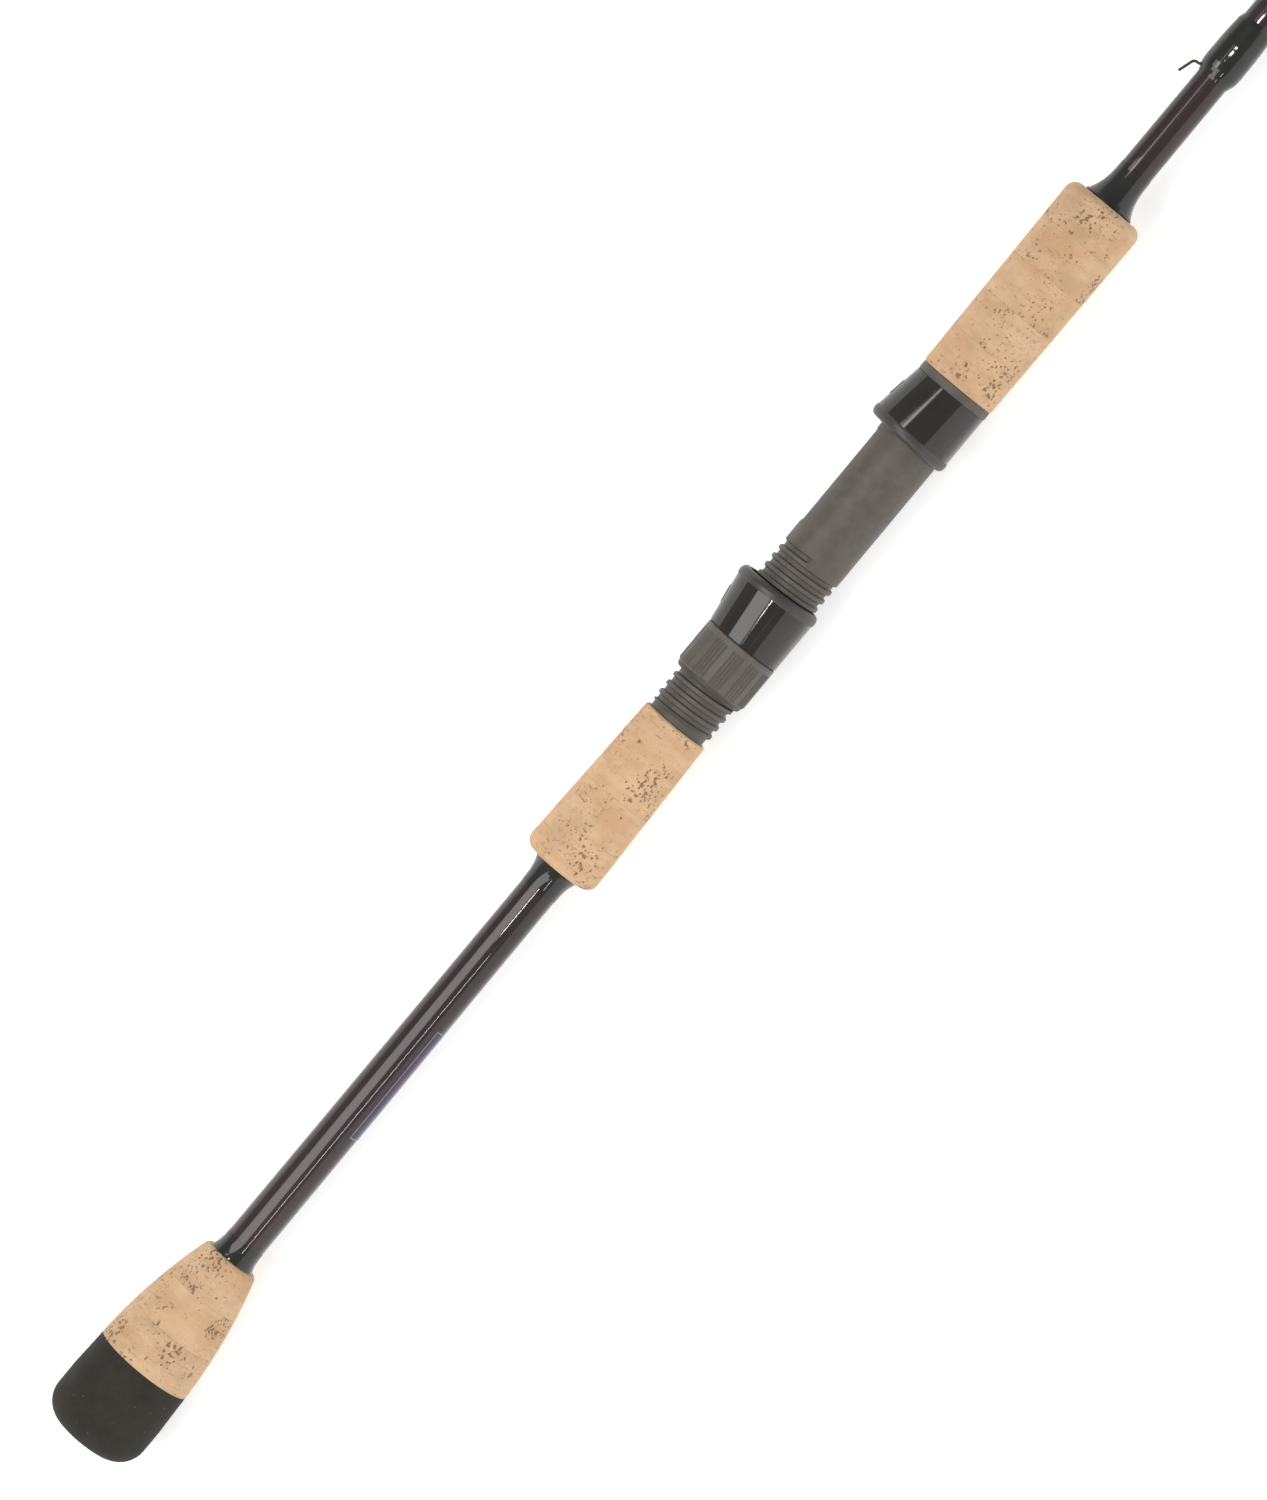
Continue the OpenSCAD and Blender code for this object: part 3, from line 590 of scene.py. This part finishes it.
class Bench:
    """Shapes a mesh with Blender's own operators, with faces and points chosen by place."""

    @staticmethod
    def clear() -> None:
        """Leaves nothing selected."""
        if bpy.context.object is not None and bpy.context.object.mode != "OBJECT":
            bpy.ops.object.mode_set(mode="OBJECT")
        bpy.ops.object.select_all(action="DESELECT")

    @staticmethod
    def choose_points(piece: bpy.types.Object, wanted: Test) -> None:
        """Selects the points that pass a test, and leaves the piece in edit mode.

        Args:
            piece: The piece to select on.
            wanted: Whether a point here is selected.
        """
        bpy.ops.object.mode_set(mode="EDIT")
        bpy.ops.mesh.select_mode(type="VERT")
        bpy.ops.mesh.select_all(action="DESELECT")
        bpy.ops.object.mode_set(mode="OBJECT")
        for vertex in piece.data.vertices:
            vertex.select = wanted(vertex.co)
        bpy.ops.object.mode_set(mode="EDIT")

    @staticmethod
    def keep_faces(piece: bpy.types.Object, keep: Test) -> None:
        """Deletes the faces whose middles fail a test.

        Args:
            piece: The piece to cut.
            keep: Whether a face with this middle stays.
        """
        bpy.ops.object.mode_set(mode="EDIT")
        bpy.ops.mesh.select_mode(type="FACE")
        bpy.ops.mesh.select_all(action="DESELECT")
        bpy.ops.object.mode_set(mode="OBJECT")
        for polygon in piece.data.polygons:
            polygon.select = not keep(polygon.center)
        bpy.ops.object.mode_set(mode="EDIT")
        bpy.ops.mesh.delete(type="FACE")
        bpy.ops.object.mode_set(mode="OBJECT")

    @staticmethod
    def finish(piece: bpy.types.Object, modifiers: list[tuple[str, dict]]) -> None:
        """Adds modifiers and applies them in order.

        Args:
            piece: The piece to finish.
            modifiers: Each modifier's type and settings.
        """
        bpy.context.view_layer.objects.active = piece
        for kind, settings in modifiers:
            modifier = piece.modifiers.new(kind.lower(), kind)
            for name, value in settings.items():
                setattr(modifier, name, value)
            bpy.ops.object.modifier_apply(modifier=modifier.name)


# ---- Pieces ----------------------------------------------------------------------------------


@dataclass
class Taper:
    """The blank's outside, as a straight taper between the ends of its own node."""

    start: float = 0.0
    end: float = 0.0
    start_radius: float = 0.0
    end_radius: float = 0.0

    def __post_init__(self) -> None:
        """Reads the two end radii from the blank's node."""
        points = [v.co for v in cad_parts["blank"].data.vertices]
        self.start = min(p.x for p in points)
        self.end = max(p.x for p in points)
        self.start_radius = max(self.reach(p) for p in points if p.x < self.start + MM)
        self.end_radius = max(self.reach(p) for p in points if p.x > self.end - MM)

    @staticmethod
    def reach(point: Vector) -> float:
        """Returns a point's distance from the axis."""
        return math.hypot(point.y - AXIS_Y, point.z)

    def radius(self, x: float) -> float:
        """Returns the blank's radius at an X coordinate."""
        share = (x - self.start) / (self.end - self.start)
        return self.start_radius + (self.end_radius - self.start_radius) * share


@dataclass
class BlankLabel:
    """A plain panel with a fine border, printed on the bare blank between the two grips."""

    start: float = -224.8 * MM
    length: float = 38 * MM
    turn: float = math.radians(-90)
    half_turn: float = math.radians(52)
    border: float = 0.36 * MM
    lift: float = 0.03 * MM
    thickness: float = 0.03 * MM
    sides: int = 180

    def build(self) -> list[tuple[bpy.types.Object, Body, str]]:
        """Models the panel and its border.

        Returns:
            Each piece, the body that it rides on and its material slot.
        """
        violet = PrintFinish("violet_print", linear(48, 31, 64), 0.1, 0.42).material()
        silver = PrintFinish("silver_print", linear(122, 114, 124), 0.6, 0.4).material()
        taper = Taper()
        reach = taper.radius(self.start)
        inner = self.border / reach
        panel = self.patch("label_panel", taper, self.border * 1.02, inner * 1.02, False)
        panel.data.materials.append(violet)
        rim = self.patch("label_border", taper, 0.0, 0.0, True)
        rim.data.materials.append(silver)
        return [(panel, Body.ROD, "label_varnish"), (rim, Body.ROD, "label_varnish")]

    def patch(self, name: str, taper: Taper, margin: float, angle_margin: float,
              hollow: bool) -> bpy.types.Object:
        """Models one curved patch that follows the blank's taper.

        Args:
            name: The piece's name.
            taper: The blank's outside.
            margin: How far its ends stay inside the label.
            angle_margin: How far its sides stay inside the label, in radians.
            hollow: Whether only a border of it is kept.

        Returns:
            The patch.
        """
        first, last = self.start + margin, self.start + self.length - margin
        Bench.clear()
        bpy.ops.mesh.primitive_cylinder_add(
            vertices=self.sides, radius=taper.radius(first) + self.lift, depth=last - first,
            end_fill_type="NOTHING", location=((first + last) / 2, AXIS_Y, 0), rotation=(0, math.pi / 2, 0))
        piece = bpy.context.object
        piece.name = name
        bpy.ops.object.transform_apply(location=True, rotation=True, scale=True)
        shrink = (taper.radius(last) + self.lift) / (taper.radius(first) + self.lift)
        Bench.choose_points(piece, lambda point: point.x > (first + last) / 2)
        bpy.ops.transform.resize(value=(1, shrink, shrink), center_override=(last, AXIS_Y, 0))
        bpy.ops.object.mode_set(mode="OBJECT")
        reach = self.half_turn - angle_margin

        def inside(middle: Vector) -> bool:
            """Tells whether a face lies within the label's share of the turn."""
            angle = math.atan2(middle.y - AXIS_Y, middle.z) - self.turn
            return abs(math.atan2(math.sin(angle), math.cos(angle))) < reach

        Bench.keep_faces(piece, inside)
        if hollow:
            bpy.ops.object.mode_set(mode="EDIT")
            bpy.ops.mesh.select_all(action="SELECT")
            bpy.ops.mesh.inset(thickness=self.border, use_even_offset=True)
            bpy.ops.mesh.delete(type="FACE")
            bpy.ops.object.mode_set(mode="OBJECT")
        Bench.finish(piece, [("SOLIDIFY", {"thickness": self.thickness, "offset": 1.0})])
        return piece


@dataclass
class HoodBadge:
    """A small plain raised pad on the crest of a hood, where such hoods carry an embossed mark."""

    name: str
    shell: str
    body: Body
    length: float = 5.2 * MM
    width: float = 3.4 * MM
    rise: float = 0.16 * MM
    corner: float = 0.9 * MM

    def build(self) -> list[tuple[bpy.types.Object, Body, str]]:
        """Models the pad on the hood's crest.

        Returns:
            The piece, the body that it rides on and its material slot.
        """
        low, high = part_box(self.shell)
        middle = (low.x + high.x) / 2
        Bench.clear()
        bpy.ops.mesh.primitive_plane_add(
            size=1.0, location=(middle, high.y + MM, 0), rotation=(-math.pi / 2, 0, 0))
        piece = bpy.context.object
        piece.name = self.name
        piece.scale = (self.length, self.width, 1.0)
        bpy.ops.object.transform_apply(location=True, rotation=True, scale=True)
        Bench.clear()
        piece.select_set(True)
        bpy.context.view_layer.objects.active = piece
        bpy.ops.object.mode_set(mode="EDIT")
        bpy.ops.mesh.select_mode(type="VERT")
        bpy.ops.mesh.select_all(action="SELECT")
        bpy.ops.mesh.bevel(offset=self.corner, segments=6, affect="VERTICES")
        bpy.ops.mesh.select_all(action="SELECT")
        bpy.ops.mesh.inset(thickness=0.25 * MM)
        bpy.ops.mesh.select_all(action="SELECT")
        bpy.ops.mesh.quads_convert_to_tris()
        bpy.ops.mesh.subdivide(number_cuts=3)
        bpy.ops.object.mode_set(mode="OBJECT")
        Bench.finish(piece, [
            ("SHRINKWRAP", {"target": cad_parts[self.shell], "wrap_method": "PROJECT",
                            "use_project_y": True, "use_negative_direction": True,
                            "use_positive_direction": False, "offset": 0.0}),
            ("SOLIDIFY", {"thickness": self.rise * 2, "offset": 0.0}),
            ("BEVEL", {"width": 0.05 * MM, "segments": 2, "limit_method": "ANGLE",
                       "angle_limit": math.radians(40)}),
        ])
        bpy.ops.object.shade_smooth_by_angle(angle=math.radians(30))
        piece.data.materials.append(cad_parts[self.shell].data.materials[0])
        return [(piece, self.body, "hood_gloss")]


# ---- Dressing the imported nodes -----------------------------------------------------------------


class Dresser:
    """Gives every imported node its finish."""

    def __init__(self) -> None:
        """Makes the finishes that several nodes share."""
        self.seat = SeatFinish().material()
        nut_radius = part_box("locking_nut")[1].y - AXIS_Y
        # the nut's grooves get a strong painted shade
        self.nut = SeatFinish("nut_nylon", base=linear(86, 80, 71), shade=linear(82, 76, 67),
                              crest=nut_radius, root=nut_radius - 0.5 * MM, groove_shade_share=0.8).material()
        self.gloss = GlossFinish().material()
        self.lip = SatinFinish("hood_lip", linear(58, 54, 50), 0.42).material()
        self.foam = FoamFinish().material()
        self.wrap = WrapFinish().material()
        self.blank = BlankFinish("clear_coated_blank", linear(36, 23, 24), linear(48, 33, 35)).material()
        self.label = BlankFinish("front_varnish", linear(36, 22, 28), linear(50, 32, 40), 0.2).material()
        self.check = SatinFinish("anodised_check", linear(48, 44, 42), 0.34, 0.8).material()
        self.wire = SatinFinish("plated_wire", linear(84, 72, 62), 0.3, 1.0).material()
        self.frames = SatinFinish("plated_frame", linear(70, 70, 76), 0.16, 1.0, 2600.0).material()
        self.ceramic = CeramicFinish().material()
        self.arbor = SatinFinish("arbor_foam", linear(150, 148, 138), 0.9, 0.0, 1800.0, 0.1 * MM).material()

    def finish_for(self, name: str) -> bpy.types.Material:
        """Chooses the finish of one node.

        Args:
            name: The node's name.

        Returns:
            Its material.
        """
        if "_cork_" in name:
            return self.cork(name)
        exact = {"blank": self.blank, "butt_cap": self.foam, "winding_check": self.check,
                 "label_coat": self.label, "hook_keeper": self.wire, "locking_nut": self.nut}
        if name in exact:
            return exact[name]
        endings = [("_shell", self.gloss), ("_liner", self.lip), ("_frame", self.frames),
                   ("_ring", self.ceramic), ("wrap", self.wrap), ("wraps", self.wrap)]
        for ending, material in endings:
            if name.endswith(ending):
                return material
        return self.arbor if "arbor" in name else self.seat

    @staticmethod
    def cork(name: str) -> bpy.types.Material:
        """Builds one cork ring's own finish, so that neighbours differ as cut rings do.

        Args:
            name: The ring's node name, which ends in its number.

        Returns:
            The ring's material.
        """
        grip, number = name.split("_")[0], int(name.split("_")[-1])
        base, level = {"butt": (11.0, 0.87), "rear": (23.0, 0.97), "fore": (37.0, 0.95)}[grip]
        seed = base + 1.7 * number
        tone = level * (1.0 + 0.02 * math.sin(2.3 * seed))
        low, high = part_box(name)
        return CorkFinish("cork_" + name, seed, tone, low.x, high.x).material()

    def dress_all(self) -> None:
        """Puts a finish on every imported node."""
        for name, node in sorted(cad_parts.items()):
            node.data.materials.clear()
            node.data.materials.append(self.finish_for(name))
            LOG.info("dressed %s in %s", name, node.data.materials[0].name)


# ---- Studio ----------------------------------------------------------------------------------


@dataclass(frozen=True)
class GlossLight:
    """A small light that shows only as a highlight in gloss, facing down."""

    name: str
    place: Triple
    size: tuple[float, float]
    radiance: float


GLOSS_LIGHTS = (
    GlossLight("lamp", (-0.251, 0.042, 1.0), (0.022, 0.022), 110.0),
    GlossLight("tube", (-0.56, -0.42, 1.0), (0.56, 0.018), 60.0),
    GlossLight("glint", (0.10, 0.47, 0.5), (0.05, 0.50), 3.2),
    GlossLight("spark", (0.182, 0.09, 0.5), (0.010, 0.12), 36.0),
)


@dataclass
class Studio:
    """A pale floor, soft lights and the camera that looks down at the handle."""

    distance: float = 2305.57 * MM
    over: Vector = Vector((102.1 * MM, -4.78 * MM, 0))
    tilt: float = math.radians(4.8538)
    across: Triple = (0.6393, -0.7690, 0.0)
    lens: float = 204.0
    sensor: float = 36.0
    floor_middle: float = 0.6
    floor_size: float = 40
    floor_glow: float = 0.42
    room_glow: float = 0.5
    softbox_height: float = 1.0
    softbox_aside: float = 0.70
    softbox_behind: float = 0.02
    softbox_size: tuple[float, float] = (1.15, 0.85)
    softbox_radiance: float = 4.0
    card_turn: float = math.radians(-68)
    card_size: tuple[float, float] = (2.6, 1.0)
    card_radiance: float = 1.05

    def camera(self) -> None:
        """Places the camera, and makes it the scene's own."""
        data = bpy.data.cameras.new("view_camera")
        data.lens = self.lens
        data.sensor_height = self.sensor
        data.sensor_fit = "VERTICAL"
        data.clip_end = 20.0
        camera = bpy.data.objects.new("view_camera", data)
        bpy.context.scene.collection.objects.link(camera)
        back = Vector((math.sin(self.tilt), 0, math.cos(self.tilt)))
        along = Vector((math.cos(self.tilt), 0, -math.sin(self.tilt)))
        right = along * self.across[0] + Vector((0, 1, 0)) * self.across[1]
        up = back.cross(right)
        turn = Matrix((right, up, back)).transposed().to_4x4()
        camera.matrix_world = Matrix.Translation(self.over + Vector((0, 0, self.distance))) @ turn
        bpy.context.scene.camera = camera

    def floor(self) -> None:
        """Lays the pale floor under the widest part of the rod."""
        low, _high = CAD_BOX
        Bench.clear()
        bpy.ops.mesh.primitive_plane_add(size=1.0, location=(self.floor_middle, 0, low.z - 0.2 * MM))
        floor = bpy.context.object
        floor.name = "floor"
        floor.scale = (self.floor_size, self.floor_size, 1)
        sheet = NodeSheet("pale_floor")
        floor.data.materials.append(sheet.dress({
            "Base Color": (0.88, 0.88, 0.88), "Roughness": 0.9, "Specular IOR Level": 0.1,
            "Emission Color": (1.0, 1.0, 1.0), "Emission Strength": self.floor_glow,
        }))

    def world(self) -> None:
        """Fills the room with an even pale light."""
        world = bpy.data.worlds.new("room")
        world.use_nodes = True
        background = world.node_tree.nodes["Background"]
        background.inputs["Color"].default_value = (1.0, 1.0, 1.0, 1.0)
        background.inputs["Strength"].default_value = self.room_glow
        bpy.context.scene.world = world

    @staticmethod
    def panel(name: str, place: Vector, back: Vector, along: Vector, size: tuple[float, float],
              radiance: float) -> bpy.types.Object:
        """Adds one flat light.

        Args:
            name: The light's name.
            place: Its middle.
            back: The direction away from what it lights.
            along: The direction of its length.
            size: Its length and its width.
            radiance: Brightness of its surface.

        Returns:
            The light.
        """
        data = bpy.data.lights.new(name, "AREA")
        data.shape = "RECTANGLE"
        data.size, data.size_y = size
        data.energy = radiance * math.pi * size[0] * size[1]
        light = bpy.data.objects.new(name, data)
        bpy.context.scene.collection.objects.link(light)
        width = back.cross(along).normalized()
        turn = Matrix((width.cross(back), width, back)).transposed().to_4x4()
        light.matrix_world = Matrix.Translation(place) @ turn
        return light

    def lights(self) -> None:
        """Hangs the softbox and the card, and the small lights that only gloss shows."""
        overhead = Vector((0, 0, 1))
        aside = Vector((-self.across[0], -self.across[1], 0))
        ahead = aside.cross(overhead)
        forward = Vector((1, 0, 0))
        middle = Vector((0, AXIS_Y, self.softbox_height))
        place = middle + aside * self.softbox_aside - ahead * self.softbox_behind
        self.panel("softbox", place, overhead, ahead, self.softbox_size, self.softbox_radiance)
        back = Vector((0, math.sin(self.card_turn), math.cos(self.card_turn)))
        place = Vector((0, AXIS_Y, 0)) + back
        self.panel("card", place, back, forward, self.card_size, self.card_radiance)
        for small in GLOSS_LIGHTS:
            place = Vector(small.place)
            light = self.panel(small.name, place, overhead, forward, small.size, small.radiance)
            light.visible_diffuse = False

    def build(self) -> None:
        """Sets up the floor, the light and the camera, with plain colours."""
        self.floor()
        self.world()
        self.lights()
        self.camera()
        settings = bpy.context.scene.view_settings
        settings.view_transform = "Standard"
        settings.look = "None"


def main() -> None:
    """Builds the studio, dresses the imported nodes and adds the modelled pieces."""
    logging.basicConfig(level=logging.INFO, format="%(name)s: %(message)s")
    Studio().build()
    Dresser().dress_all()
    makers = [
        BlankLabel(),
        HoodBadge("sliding_hood_badge", "sliding_hood_shell", Body.SLIDING_HOOD),
        HoodBadge("fixed_hood_badge", "fixed_hood_shell", Body.ROD),
    ]
    for maker in makers:
        for piece, body, slot in maker.build():
            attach(piece, body.value)
            LOG.info("built %s on %s", piece.name, body.value)


if __name__ == "__main__":
    main()
